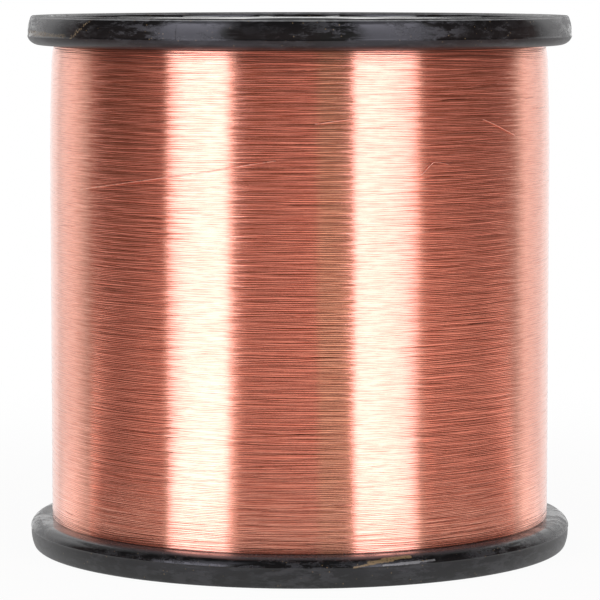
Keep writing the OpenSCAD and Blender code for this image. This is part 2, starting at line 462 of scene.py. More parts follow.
def flange_outline(reel):
    """Half section of a flange, its outer face at height 0 and the wire's side at rim_t."""
    flange_r = reel.flange_d / 2
    ring_in, ring_out, recess_r = flange_radii(reel)
    spigot_out = ring_in + reel.spigot_t
    spigot_top = reel.rim_t + reel.spigot_h
    web_z = reel.rim_t - reel.web_t
    lip_r = reel.bore_d / 2 + reel.fit
    boss_bore_r = lip_r + reel.hub_wall
    boss_r = boss_bore_r + reel.boss_wall
    cone_r = lip_r + reel.cone_depth  # the cone's sides slope at 45 degrees
    depth = reel.recess_depth
    seat_z = TUBE_BOTTOM
    disc_z = depth + reel.disc_t
    e, f, b = SOFT_EDGE, SOFT_FILLET, reel.boss_fillet_r
    slant = e * math.tan(math.radians(22.5))  # the cone's edge turns by 45 degrees
    outline = [(boss_bore_r, spigot_top), (boss_bore_r, seat_z), (lip_r, seat_z)]
    outline += [(lip_r, seat_z - reel.lip_t)]
    outline += arc((cone_r + slant, depth + e), e, 225, 270, 4)
    outline += arc((ring_out - e, depth + e), e, 270, 360)
    outline += arc((ring_out + f, web_z - f), f, 180, 90)
    outline += arc((recess_r - f, web_z - f), f, 90, 0)
    r = reel.recess_edge_r
    outline += arc((recess_r + r, r), r, 180, 270)
    outline += rim_side(reel, flange_r)
    outline += [(spigot_out, reel.rim_t), (spigot_out, spigot_top), (ring_in, spigot_top)]
    outline += arc((ring_in - f, disc_z + f), f, 360, 270)
    outline += arc((boss_r + b, disc_z + b), b, 270, 180)
    outline += [(boss_r, spigot_top)]
    return outline


def rim_side(reel, flange_r):
    """The rim's side: a crowned band, a fine step out, and a rounding beside the wire."""
    r, crown, lean = reel.outer_edge_r, reel.crown_r, reel.crown_angle
    side_r = flange_r - reel.step
    edge_h = r * math.cos(CORNER)
    crown_h = edge_h + (crown - r) * math.sin(lean)  # where the side stands upright
    edge_r = side_r - (crown - r) * (1 - math.cos(lean)) - r
    crown_start = 360 - math.degrees(lean)
    outline = arc((edge_r, edge_h), r, 270 + math.degrees(CORNER), crown_start, 6)
    outline += arc((side_r - crown, crown_h), crown, crown_start, 360, 8)[1:]
    crease_h = reel.rim_t - reel.inner_edge_h
    # The step's slope, as (share of the step, share of its height below the crease).
    for out, down in ((0.0, 1.15), (0.0, 1.0), (0.12, 0.8), (0.9, 0.1), (1.0, 0.0)):
        outline.append((side_r + out * reel.step, crease_h - down * STEP_H))
    tall = reel.inner_edge_h / (1 - math.sin(CREASE))
    wide = reel.inner_edge_w / math.cos(CREASE)
    centre = (flange_r - reel.inner_edge_w, reel.rim_t - tall)
    steps = 10
    for i in range(1, steps + 1):
        a = CREASE + (math.pi / 2 - CREASE) * i / steps
        outline.append((centre[0] + wide * math.cos(a), centre[1] + tall * math.sin(a)))
    return outline


def add_ribs(flange, reel):
    """Joins the radial ribs to the web, and the driving hole's boss to the hub disc."""
    _, ring_out, recess_r = flange_radii(reel)
    half = reel.rib_t / 2
    low = (ring_out - RIB_ROOT, -half, reel.recess_depth)
    high = (recess_r + RIB_ROOT, half, reel.rim_t - reel.web_t / 2)
    for i in range(reel.ribs):
        rib = rounded_bar("rib", low, high, SOFT_EDGE, 2 * math.pi * i / reel.ribs)
        cut_or_join(flange, rib, "UNION")
    hole_r = reel.drive_hole_d / 2
    wall_r = hole_r + reel.drive_hole_wall
    foot = reel.recess_depth + reel.disc_t / 2  # the boss's foot lies inside the disc
    top, e = reel.rim_t, SOFT_EDGE
    outline = [(hole_r - e, top), (hole_r - e, foot), (wall_r, foot)]
    outline += arc((wall_r - e, top - e), e, 0, 90)
    boss = lathe("driving_boss", outline, 64)
    boss.data.transform(driving_place(reel))
    cut_or_join(flange, boss, "UNION")


def driving_place(reel):
    """Moves a piece from the axis to the driving hole."""
    return Matrix.Translation((reel.drive_hole_offset, 0, 0))


def plug(name, r, z_from, z_to, flare, segments=64):
    """A round cutter that flares at its lower end, like a countersunk pin."""
    foot = z_from - MM
    ring = [(r + flare + MM, foot), (r, z_from + flare), (r, z_to)]
    vertices = [(0.0, 0.0, z_to), (0.0, 0.0, foot)]
    faces = []
    for j in range(segments):
        a = 2 * math.pi * j / segments
        vertices += [(rr * math.cos(a), rr * math.sin(a), z) for rr, z in ring]
        here, there = 2 + 3 * j, 2 + 3 * ((j + 1) % segments)
        faces.append((1, there, here))
        faces.append((here, there, there + 1, here + 1))
        faces.append((here + 1, there + 1, there + 2, here + 2))
        faces.append((here + 2, there + 2, 0))
    return new_piece(name, vertices, faces)


def cut_holes(flange, reel):
    """Cuts the driving hole and the slot for the wire's starting end."""
    top = reel.rim_t + MM
    hole = plug("hole", reel.drive_hole_d / 2, reel.recess_depth, top, HOLE_EDGE)
    hole.data.transform(driving_place(reel))
    cut_or_join(flange, hole, "DIFFERENCE")
    half = reel.start_slot_w / 2
    ring_out = reel.barrel_d / 2
    outline = []
    for centre, r in ((ring_out + reel.start_slot_len - half, half), (ring_out + half, -half)):
        for a in np.linspace(-math.pi / 2, math.pi / 2, 17):
            outline.append((centre + r * math.cos(a), r * math.sin(a)))
    vertices = [(x, y, z) for z in (-MM, top) for x, y in outline]
    slot = new_piece("slot", vertices, capped(2, len(outline)))
    slot.data.transform(Matrix.Rotation(math.pi / reel.ribs, 4, "Z"))
    cut_or_join(flange, slot, "DIFFERENCE")


# Smears on the rims, as (azimuth in degrees, radius, height) at both ends, a half width,
# the share of it that is covered, and how strong its colour is. Lengths are in mm.
SMEARS = [
    ((10.8, 79.9, 5.9), (15.0, 79.6, 6.7), 0.30, 1.0, 0.7),  # dried film on the lower rim
    ((14.0, 79.5, 6.9), (19.0, 78.9, 7.3), 0.62, 1.0, 0.7),
    ((17.0, 78.8, 7.4), (22.8, 78.4, 7.7), 0.68, 1.0, 0.75),
    ((-46.8, 79.1, 156.3), (-49.9, 79.6, 153.6), 0.32, 0.55, 0.9),  # rub on the upper rim
    ((-49.3, 79.6, 154.2), (-53.5, 79.9, 150.7), 0.60, 0.36, 0.8),
    ((-80.0, 79.9, 151.7), (-72.0, 79.9, 151.6), 0.75, 0.80, 0.40),  # brown band beside it
    ((-73.0, 79.9, 151.6), (-65.0, 79.9, 151.5), 0.75, 0.75, 0.40),
    ((-66.0, 79.9, 151.5), (-56.0, 79.9, 151.2), 0.60, 0.60, 0.35),
]
RUBS = [  # pale rubs on the lower rim, with a half width
    ((16.8, 79.85, 6.15), (20.5, 79.8, 6.2), 0.30),
    ((20.0, 79.8, 6.2), (24.5, 79.7, 6.4), 0.42),
    ((24.0, 79.7, 6.4), (28.0, 79.6, 6.55), 0.30),
]
HAIRLINE = ((-25.0, 79.5, 155.7), (-25.2, 79.9, 150.9))  # a fine dark crack in the upper rim
RAGGED = 1.6  # how ragged the edge of a smear is, as a share of its half width
# The rim's painted corner highlight and the painted reflection at its foot also start at these
# radii.
RIM_FADE = (0.071, 0.073)  # radii between which the wear of the rim sets in
PAINTED_SHEEN_SIDES = (0.064, 0.078)  # distances to the left and right where the rim is painted lighter in patches: a painted reflection at its silhouettes

# Heights between which a finish, a painted highlight or a painted reflection fades in, and out
# again.
LOWER_SATIN = (5.75 * MM, 6.0 * MM)  # the lower rim is satin up to here
UPPER_SATIN = ((80 * MM, 90 * MM), (REEL_TOP - 6.0 * MM, REEL_TOP - 5.9 * MM))
TOP_SATIN = (REEL_TOP - 0.10 * MM, REEL_TOP - 0.05 * MM)  # the flat face on top is satin
# A pale line painted along the upper rim's corner: a painted highlight.
PAINTED_CORNER_HIGHLIGHT = (
    (REEL_TOP - 0.68 * MM, REEL_TOP - 0.53 * MM),
    (REEL_TOP - 0.37 * MM, REEL_TOP - 0.22 * MM),
)
# The rim beside the lowest turns is painted lighter, a painted reflection of the winding.
FOOT_PAINTED_REFLECTION = ((7.7 * MM, 8.3 * MM), (8.6 * MM, 8.8 * MM))  # beside the lowest turns


def near_line(nodes, place, start, stop, width, ragged):
    """1 near the line from start to stop, each (azimuth, radius, height), with a ragged edge."""
    start, stop = (on_cylinder(r * MM, math.radians(a), z * MM) for a, r, z in (start, stop))
    along = stop - start
    from_start = nodes.vector("SUBTRACT", place, tuple(start))
    dot = nodes.add("VectorMath", {0: from_start, 1: tuple(along)}, operation="DOT_PRODUCT")
    sockets = {0: dot.outputs["Value"], 1: along.length_squared}
    share = nodes.add("Math", sockets, operation="DIVIDE", use_clamp=True)
    sockets = {0: tuple(along), "Scale": share.outputs[0]}
    nearest = nodes.add("VectorMath", sockets, operation="SCALE")
    distance = nodes.length_of(from_start, nearest.outputs[0])
    reach = nodes.plus(distance, nodes.times(ragged, width))
    return nodes.ramp(reach, width * 0.75, width * 1.15, 1.0, 0.0)


def wear_and_side_sheen(nodes, place, across, patch, rim):
    """Dull patches of wear on the rim, and lighter patches on its left and right sides that are a
    painted reflection at the silhouettes.
    """
    broad = nodes.noise(place, (42, 42, 60), 3.0, 0.6)
    wear_and_sheen = nodes.times(nodes.ramp(broad, 0.40, 0.60, 0.25, 1.0), nodes.ramp(patch, 0.46, 0.60))
    # The sides are painted lighter in patches, a painted reflection at the silhouettes; this joins
    # the wear in the return.
    sides = nodes.ramp(nodes.math("ABSOLUTE", across), *PAINTED_SHEEN_SIDES)
    sides = nodes.times(sides, nodes.ramp(patch, 0.42, 0.56, 0.1, 1.0))
    return nodes.times(nodes.larger(wear_and_sheen, sides), rim)


def scratches(nodes, place):
    """Fine scratches round the rim and across it."""
    scratch = nodes.noise(place, (70, 70, 5200), 1.0)
    cross = nodes.noise(nodes.vector("ADD", place, (0.3, 0.1, 0.2)), (2600, 240, 900), 1.0)
    return nodes.larger(nodes.ramp(scratch, 0.70, 0.76), nodes.ramp(cross, 0.74, 0.80))


def dust_specks(nodes, place):
    """Scattered specks of dust."""
    dust = nodes.add("TexVoronoi", {"Vector": place, "Scale": 700.0, "Randomness": 1.0})
    speck = nodes.ramp(dust.outputs["Distance"], 0.15, 0.08)
    return nodes.times(speck, nodes.ramp(nodes.noise(place, (260, 260, 260), 2.0), 0.50, 0.58))


def smears_rubs_and_highlight(nodes, place, patch, corner):
    """How much of the tan smears, and of the pale rubs with the painted corner highlight, lies on
    the rims.
    """
    ragged = nodes.math("SUBTRACT", nodes.noise(place, (700, 700, 900), 4.0, 0.7), 0.5)
    ragged = nodes.times(ragged, RAGGED)
    fine = nodes.noise(place, (2300, 2300, 2300), 2.0)
    # The pale mask starts as the painted highlight along the upper rim's corner; the rubs join it.
    smear, rubs_and_painted_highlight = 0.0, corner
    for start, stop, width, cover, strength in SMEARS:
        near = near_line(nodes, place, start, stop, width * MM, ragged)
        spots = nodes.ramp(fine, 0.68 - 0.36 * cover, 0.75 - 0.36 * cover, 0.0, strength)
        smear = nodes.larger(nodes.times(near, spots), smear)
    for start, stop, width in RUBS:
        near = near_line(nodes, place, start, stop, width * MM, ragged)
        rubs_and_painted_highlight = nodes.larger(rubs_and_painted_highlight, nodes.times(near, 0.75))
    smear = nodes.times(smear, nodes.ramp(patch, 0.30, 0.55, 0.6, 1.0))
    return smear, nodes.times(rubs_and_painted_highlight, nodes.ramp(patch, 0.35, 0.60, 0.6, 1.0))


def make_plastic(name, colours, glossy=True):
    """Black moulded plastic: glossy, with scuffed patches, fine scratches, dust and smears, a
    painted highlight along the upper rim's corner and painted reflections on the rims.
    """
    material, nodes = new_material(name)
    place = nodes.place()
    parts = nodes.add("SeparateXYZ", {0: place}).outputs
    height = parts["Z"]
    radius = nodes.length_of(nodes.vector("MULTIPLY", place, (1, 1, 0)), (0, 0, 0))
    rim = nodes.ramp(radius, *RIM_FADE)
    under = nodes.band(height, *UPPER_SATIN)
    satin = nodes.larger(nodes.ramp(height, *LOWER_SATIN, 1.0, 0.0), under)
    satin = nodes.larger(satin, nodes.ramp(height, *TOP_SATIN))
    # A pale line along the upper rim's corner, as a painted highlight.
    corner = nodes.times(nodes.band(height, *PAINTED_CORNER_HIGHLIGHT), rim)
    # Lighter beside the lowest turns: a painted reflection.
    foot = nodes.times(nodes.band(height, *FOOT_PAINTED_REFLECTION), rim)
    patch = nodes.noise(place, (170, 170, 520), 6.0, 0.7)
    wear_and_sheen = wear_and_side_sheen(nodes, place, parts["X"], patch, rim)
    lines = scratches(nodes, place)
    specks = dust_specks(nodes, place)
    smear, rubs_and_painted_highlight = smears_rubs_and_highlight(nodes, place, patch, corner)
    crack = near_line(nodes, place, *HAIRLINE, 0.10 * MM, 0.0)

    tint = rgba(colours.plastic)
    for share, over in (
        # Wear, and on the left and right sides a painted reflection.
        (nodes.times(wear_and_sheen, 0.42), colours.haze_and_painted_sheen),
        (nodes.times(lines, 0.3), colours.haze_and_painted_sheen),
        # The painted reflection beside the lowest turns.
        (foot, colours.haze_and_painted_sheen),
        # Real rubs, and the painted highlight along the upper rim's corner.
        (rubs_and_painted_highlight, colours.rubs_and_painted_highlight),
        (smear, colours.scuff),
        (nodes.times(specks, 0.5), colours.scuff),
        (nodes.times(crack, 0.9), (0.001, 0.001, 0.001)),
    ):
        tint = nodes.mix(share, tint, rgba(over))

    low, high = (0.10, 0.38) if glossy else (0.42, 0.60)
    rough = nodes.add("MapRange", {"Value": wear_and_sheen, "To Min": low, "To Max": high}).outputs["Result"]
    for share, more in ((lines, 0.15), (rubs_and_painted_highlight, 0.25), (smear, 0.3)):
        rough = nodes.plus(rough, nodes.times(share, more))
    rough = nodes.larger(rough, nodes.times(satin, 0.42))

    grain = nodes.noise(place, (1500, 1500, 3200), 2.0)
    relief = nodes.times(wear_and_sheen, nodes.plus(grain, nodes.times(patch, 1.5)))
    relief = nodes.plus(relief, nodes.times(smear, 0.5))
    relief = nodes.math("SUBTRACT", relief, nodes.times(crack, 2.0))
    sockets = {
        "Base Color": tint,
        "Roughness": rough,
        "IOR": 1.46,
        "Specular IOR Level": nodes.ramp(under, 0.0, 1.0, 0.5, 0.36),
        "Normal": nodes.bump(relief, 0.03 * MM, 0.8),
    }
    return principled(material, nodes, sockets)


class REEL_OT_flanges(bpy.types.Operator):
    """Build both ribbed flanges"""

    bl_idname = "reel.flanges"
    bl_label = "Flanges"

    def execute(self, context):
        reel, _, colours, _ = settings()
        lower = lathe("lower_flange_moulding", flange_outline(reel), FLANGE_SEGMENTS)
        add_ribs(lower, reel)
        cut_holes(lower, reel)
        lower.data.shade_smooth()
        lower.data.set_sharp_from_angle(angle=math.radians(32))
        upper = link("upper_flange_moulding", lower.data.copy())
        turned = Matrix.Translation((0, 0, REEL_TOP)) @ Matrix.Scale(-1, 4, (0, 0, 1))
        upper.data.transform(turned)
        upper.data.flip_normals()
        plastic = make_plastic("black_moulded_plastic", colours)
        dress(lower, plastic, "flange_plastic", "lower_flange")
        dress(upper, plastic, "flange_plastic", "upper_flange")
        return {"FINISHED"}


# --- Hub and barrel ---

HUB_EDGE = 0.25 * MM  # rounding of the hub tube's edges


class REEL_OT_hub(bpy.types.Operator):
    """Build the hub tube, and finish the hidden barrel"""

    bl_idname = "reel.hub"
    bl_label = "Hub and barrel"

    def execute(self, context):
        reel, _, colours, _ = settings()
        bore_r = reel.bore_d / 2
        hub_r = bore_r + reel.hub_wall
        e = HUB_EDGE
        low, high = TUBE_BOTTOM + e, TUBE_TOP - e
        corners = ((bore_r + e, low), (hub_r - e, low), (hub_r - e, high), (bore_r + e, high))
        outline = []
        for centre, start in zip(corners, (180, 270, 0, 90)):
            outline += arc(centre, e, start, start + 90, 3)
        tube_piece = lathe("hub_tube_moulding", outline, 128)
        core_plastic = make_plastic("core_plastic", colours, glossy=False)
        dress(tube_piece, core_plastic, "core_plastic", "hub_tube")
        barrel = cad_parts["barrel"]
        barrel.data.materials.clear()
        barrel.data.materials.append(core_plastic)
        return {"FINISHED"}


# --- Winding ---

WIND_SEGMENTS = 128
WAVES = 24  # waves summed along the wire
# Each set of waves, as (seed, fewest waves in a turn, most waves in a turn).
SLACK_WAVES = (7, 5, 34)
SWAY_WAVES = (8, 4, 22)
DEPTH_WAVES = (9, 3, 16)
DRIFT_SEED = 11
DRIFT_FOLDS = (1, 9)  # waves round the reel, from the first up to but not with the second
DRIFT_SLOPES = (2000, 3800)  # radians for each metre along the axis, so 1.7 to 3.1 mm long


def wind_radius(wire, z, top):
    """The winding's radius at a height: it falls off towards the upper flange."""
    t = np.maximum(0.0, (z - top + wire.top_fall_h) / wire.top_fall_h)
    edge = np.maximum(0.0, (z - top + wire.edge_fall_h) / wire.edge_fall_h)
    return wire.wind_d / 2 - wire.top_fall * t * t - wire.edge_fall * edge * edge


def waves(angle, seed, low, high, by_slope=False):
    """Random waves along the wire, low to high cycles in a turn, in height or slope about 1."""
    rng = np.random.default_rng(seed)
    total = np.zeros_like(angle)
    for _ in range(WAVES):
        cycles, phase = rng.uniform(low, high), rng.uniform(0, 2 * math.pi)
        wave = np.cos(cycles * angle + phase)
        total += wave / cycles if by_slope else wave
    return total * math.sqrt(2.0 / WAVES)


def from_back(r, angle, z):
    """Points about the axis, at angles counted from the back, where the wire starts."""
    return np.stack([-r * np.sin(angle), r * np.cos(angle), z], axis=1)


def wind_surface(wire, low, high):
    """Points of the grooves and of the crests along one unbroken helix."""
    steps = wire.turns * WIND_SEGMENTS
    pitch = (high - low) / (wire.turns + 1)

    def slack(angle):
        return wire.slack * wire.wind_d / 2 * waves(angle, *SLACK_WAVES, by_slope=True)

    def sway(angle):
        return wire.sway * waves(angle, *SWAY_WAVES)

    def drift(angle, z):
        rng = np.random.default_rng(DRIFT_SEED)
        total = np.zeros_like(z)
        for _ in range(WAVES):
            around = rng.integers(*DRIFT_FOLDS)
            k = rng.uniform(*DRIFT_SLOPES) * rng.choice([-1, 1])
            total += np.sin(around * angle + k * z + rng.uniform(0, 2 * math.pi))
        return wire.drift * total * math.sqrt(2.0 / WAVES)

    index = np.arange(steps + WIND_SEGMENTS + 1)
    angle = 2 * math.pi * index / WIND_SEGMENTS
    before = angle - 2 * math.pi  # the same azimuth one turn earlier
    z = low + pitch * index / WIND_SEGMENTS
    ends = np.clip(np.minimum(z - low, high - z) / (2 * pitch), 0.0, 1.0)
    moved = (sway(angle) + sway(before)) / 2 + drift(angle, z)
    z = np.clip(z + ends * moved, low, high)
    depth = wire.groove * np.clip(1.0 + 0.3 * waves(angle, *DEPTH_WAVES), 0.3, 2.0)
    r = wind_radius(wire, z, high) + (slack(angle) + slack(before)) / 2 - depth
    grooves = from_back(r, angle, z)
    index, angle = index[: steps + 1], angle[: steps + 1]
    z = low + pitch * (index / WIND_SEGMENTS + 0.5)
    z = np.clip(z + ends[: steps + 1] * (sway(angle) + drift(angle, z)), low, high)
    crests = from_back(wind_radius(wire, z, high) + slack(angle), angle, z)
    return grooves, crests


def wound_ring(name, reel, wire):
    """The wound wire as one closed ring: a helix of turns outside, plain faces inside."""
    low, high = BARREL_BOTTOM, BARREL_TOP
    grooves, crests = wind_surface(wire, low, high)
    n, steps = WIND_SEGMENTS, wire.turns * WIND_SEGMENTS
    inner_r = reel.barrel_d / 2 + reel.fit
    foot_r = wire.wind_d / 2 - wire.groove
    top_r = foot_r - wire.top_fall - wire.edge_fall
    rings = []
    for r, z in ((foot_r, low), (inner_r, low), (inner_r, high), (top_r, high)):
        rings.append(from_back(r, 2 * math.pi * np.arange(n) / n, np.full(n, z)))
    crest0 = len(grooves)
    ring0 = crest0 + len(crests)
    last0 = ring0 + 3 * n
    faces = [(j, j + 1, crest0 + j + 1, crest0 + j) for j in range(steps)]
    faces += [(crest0 + j, crest0 + j + 1, j + 1 + n, j + n) for j in range(steps)]
    around = [(k, (k + 1) % n) for k in range(n)]
    faces += [(ring0 + k, ring0 + m, k + 1, k) for k, m in around]
    faces += [(steps + k, steps + k + 1, last0 + m, last0 + k) for k, m in around]
    faces += [tuple(ring0 + v for v in face[::-1]) for face in quads(4, n)]
    faces += [(ring0, n, crest0, 0), (steps, crest0 + steps, steps + n, last0)]
    mesh = bpy.data.meshes.new(name)
    mesh.from_pydata(np.concatenate([grooves, crests, *rings]).tolist(), [], faces)
    mesh.validate()
    mesh.shade_smooth()
    mark_grooves_sharp(mesh, len(grooves))
    along, across = np.zeros((2, len(faces), 4))
    travelled = np.arange(steps)[:, None] + np.array([0, 1, 1, 0])
    for first, side in ((0, [-1, -1, 0, 0]), (steps, [0, 0, 1, 1])):
        along[first : first + steps] = math.pi * wire.wind_d / n * travelled
        across[first : first + steps] = side
    carry(mesh, "CORNER", along=along, across=across)
    return link(name, mesh)


def mark_grooves_sharp(mesh, groove_count):
    """Makes each edge that runs along a groove sharp, so that a turn shades as a round wire."""
    ends = np.array([edge.vertices[:] for edge in mesh.edges])
    in_groove = (ends < groove_count).all(axis=1)
    next_to = np.abs(ends[:, 0] - ends[:, 1]) == 1
    sharp = mesh.attributes.new("sharp_edge", "BOOLEAN", "EDGE")
    sharp.data.foreach_set("value", in_groove & next_to)


def make_copper(name, colours):
    """Enamelled copper turns: a metal whose shine is drawn out across the turns, with painted shade
    towards the grooves.
    """
    material, nodes = new_material(name)
    along = nodes.attribute("along")
    tone = nodes.noise_along(along, 9 * MM)
    shine = nodes.noise_along(nodes.plus(along, 0.37), 11 * MM)
    ripple = nodes.noise_along(nodes.plus(along, 0.91), 4 * MM)
    # Darker towards each groove between the turns: painted shade, over a random deeper tone along
    # the wire.
    groove = nodes.math("POWER", nodes.math("ABSOLUTE", nodes.attribute("across")), 3.0)
    share = nodes.times(groove, nodes.ramp(tone, 0.35, 0.70, 0.3, 0.8))
    share = nodes.plus(share, nodes.ramp(tone, 0.35, 0.70, 0.0, 0.12))
    share = nodes.math("MINIMUM", share, 1.0)
    tint = nodes.mix(share, rgba(colours.copper), rgba(colours.deep_copper_and_groove_shade))
    tangent = nodes.add("Tangent", direction_type="RADIAL", axis="Z")
    sockets = {
        "Base Color": tint,
        "Metallic": 1.0,
        "Roughness": nodes.ramp(shine, 0.35, 0.75, 0.195, 0.22),
        "Anisotropic": 1.0,
        "Anisotropic Rotation": 0.25,
        "Tangent": tangent.outputs[0],
        "Coat Weight": 0.4,
        "Coat Roughness": 0.1,
        "Coat IOR": 1.5,
        "Normal": nodes.bump(ripple, 0.006 * MM),
    }
    return principled(material, nodes, sockets)


class REEL_OT_winding(bpy.types.Operator):
    """Wind the reel full of fine wire"""

    bl_idname = "reel.winding"
    bl_label = "Winding"

    def execute(self, context):
        reel, wire, colours, _ = settings()
        winding = wound_ring("copper_winding", reel, wire)
        copper = make_copper("enamelled_copper", colours)
        dress(winding, copper, "copper_wire", "outer_turns", "inner_layers")
        return {"FINISHED"}


# The finishing end and the loose hairs, as (azimuth in degrees, height in mm) along each.
FINISH_ROUTE = [(-60, 107.3), (-48, 109.3), (-35, 111.7), (-22, 114.1), (-12, 116.3), (-4, 118)]
HAIRS = {
    "slanting_hair": [(43.9, 128.3), (48.0, 126.6), (52.0, 124.8), (56.5, 122.9)],
    "bent_hair": [(27.2, 113.4), (28.4, 115.0), (30.2, 116.9), (32.0, 116.6), (34.6, 115.9)],
    "crossing_turn": [(3.3, 127.8), (8.0, 128.6), (13.1, 129.4)],
}
LIFT = 0.04 * MM  # how far a loose wire lies off the turns
DIP = 0.12  # share of a loose wire's length over which each end dips between the turns
POINTS_A_LEG = 12  # points laid for each point of a route


def laid_wire(name, wire, route, diameter):
    """A wire laid over the winding along a route, its ends dipping between the turns."""
    azimuths, heights = np.array(route, float).T
    share = np.linspace(0.0, 1.0, len(route))
    fine = np.linspace(0.0, 1.0, POINTS_A_LEG * len(route))
    azimuth = np.radians(np.interp(fine, share, azimuths))
    z = np.interp(fine, share, heights) * MM
    smooth = np.ones(7) / 7  # each point becomes the mean of the seven round it
    for values in (azimuth, z):
        values[3:-3] = np.convolve(values, smooth, "valid")
    up = np.clip(np.minimum(fine, 1 - fine) / DIP, 0.0, 1.0)
    r = wind_radius(wire, z, BARREL_TOP) + (LIFT + diameter / 2) * up - diameter * (1 - up)
    points = [on_cylinder(rr, a, zz) for rr, a, zz in zip(r, azimuth, z)]
    return tube(name, points, [diameter / 2] * len(points))


def make_hair(name, colours):
    """Bare bright wire, for the finishing end and the loose hairs."""
    material, nodes = new_material(name)
    patch = nodes.noise(nodes.place(), (900, 900, 900))
    tint = nodes.mix(nodes.ramp(patch, 0.3, 0.7), rgba(colours.hair), rgba(colours.copper))
    sockets = {
        "Base Color": tint,
        "Metallic": 1.0,
        "Roughness": nodes.ramp(patch, 0.3, 0.7, 0.25, 0.4),
        "Normal": nodes.bump(patch, 0.01 * MM),
    }
    return principled(material, nodes, sockets)


class REEL_OT_loose_wire(bpy.types.Operator):
    """Lay the finishing end and the loose hairs of wire over the winding"""

    bl_idname = "reel.loose_wire"
    bl_label = "Loose wire"

    def execute(self, context):
        _, wire, colours, _ = settings()
        bright = make_hair("bright_wire", colours)
        finish = laid_wire("finishing_end", wire, FINISH_ROUTE, wire.finish_d)
        dress(finish, bright, "copper_wire", "finish_end")
        for name, route in HAIRS.items():
            dress(laid_wire(name, wire, route, wire.hair_d), bright, "copper_wire")
        return {"FINISHED"}


# --- Stage ---

FLOOR_REACH = 30.0  # half the width of the floor
SHADOW_FADE = (0.10, 0.40)  # distances from the axis between which the shadow fades out
SHADOW_WHITE = 0.95  # how far the floor is lifted to white beside the reel


def make_floor(stage):
    """A wide pale floor that keeps the reel's shadow."""
    size = FLOOR_REACH
    corners = [(-size, -size, 0), (size, -size, 0), (size, size, 0), (-size, size, 0)]
    floor = new_piece("floor", corners, [(0, 1, 2, 3)])
    material, nodes = new_material("pale_floor")
    matt = nodes.add("BsdfDiffuse", {"Color": rgba(stage.floor)})
    white = nodes.add("Emission", {"Color": (1, 1, 1, 1), "Strength": 1.0})
    away = nodes.length_of(nodes.place(), (0.0, 0.0, 0.0))
    share = nodes.times(nodes.seen(), nodes.ramp(away, *SHADOW_FADE, SHADOW_WHITE, 1.0))
    shader = nodes.add("MixShader", {0: share, 1: matt.outputs[0], 2: white.outputs[0]})
    finish_material(nodes, shader)
    floor.data.materials.append(material)


# What the reel mirrors, as (bearing in degrees, brightness): a dim room in front with a
# softbox at either side, and paler walls towards the back.
ROOM = [
    (-148, 0.88), (-138, 1.10), (-127, 1.05), (-119, 0.70), (-110, 0.37), (-103, 0.2),
    (-90, 0.197), (-66, 0.3), (-63.6, 0.4), (-61.5, 2.3), (-55, 2.85), (-40, 2.95),
    (-34.4, 2.9), (-32.6, 1.3), (-30.3, 0.60), (-28.5, 0.30), (-18, 0.295), (6, 0.355),
    (9, 0.35), (24.2, 0.335), (25.9, 2.8), (36, 2.72), (44, 2.6), (52, 2.3), (55, 1.6),
    (57.8, 0.43), (66, 0.315), (95, 0.245), (110, 0.325), (118, 0.49), (127, 1.09),
    (140, 1.02),
]
PALE = (0.37, 0.55)  # brightness at which the dim room turns into its pale sides
BRIGHT = (1.1, 1.8)  # brightness at which the pale sides turn into a softbox

# Where the dim room is plain instead of tinted, as (bearing in degrees, share).
PLAIN_WALL = [(-180, 0.0), (7.5, 0.0), (9.5, 1.0), (23.0, 1.0), (25.0, 0.0), (180, 0.0)]

# The room's section, as (distance out, height, shade of its dim parts, glow of its pale
# parts and softboxes).
ROOM_SECTION = [
    (0.03, 0.004, 0.9, 1.35), (0.055, 0.004, 1.4, 1.25), (0.085, 0.004, 3.1, 1.05),
    (0.13, 0.004, 4.3, 0.92), (0.22, 0.004, 2.8, 0.86), (0.35, 0.004, 1.6, 0.90),
    (1.0, 0.004, 1.0, 0.95), (1.9, 0.004, 0.8, 0.85), (2.2, 0.20, 0.70, 0.86),
    (2.2, 0.70, 0.47, 1.05), (2.2, 1.45, 0.23, 1.5), (2.2, 1.57, 0.2, 0.45),
    (2.2, 2.60, 0.15, 0.40), (1.2, 3.20, 0.1, 0.02), (0.0, 3.30, 0.1, 0.02),
]
ROOM_REACH = math.radians(72)  # azimuth of the outermost ray on either side
ROOM_STEPS = 144


def mirrored_ray(wire, stage, azimuth):
    """Where the camera's ray leaves the winding after a mirror at an azimuth, in plan."""
    start = on_cylinder(wire.wind_d / 2, azimuth, 0)
    bearing = 2 * azimuth + math.atan2(start.x, stage.camera_distance + start.y)
    return start, Vector((math.sin(bearing), -math.cos(bearing), 0)), bearing


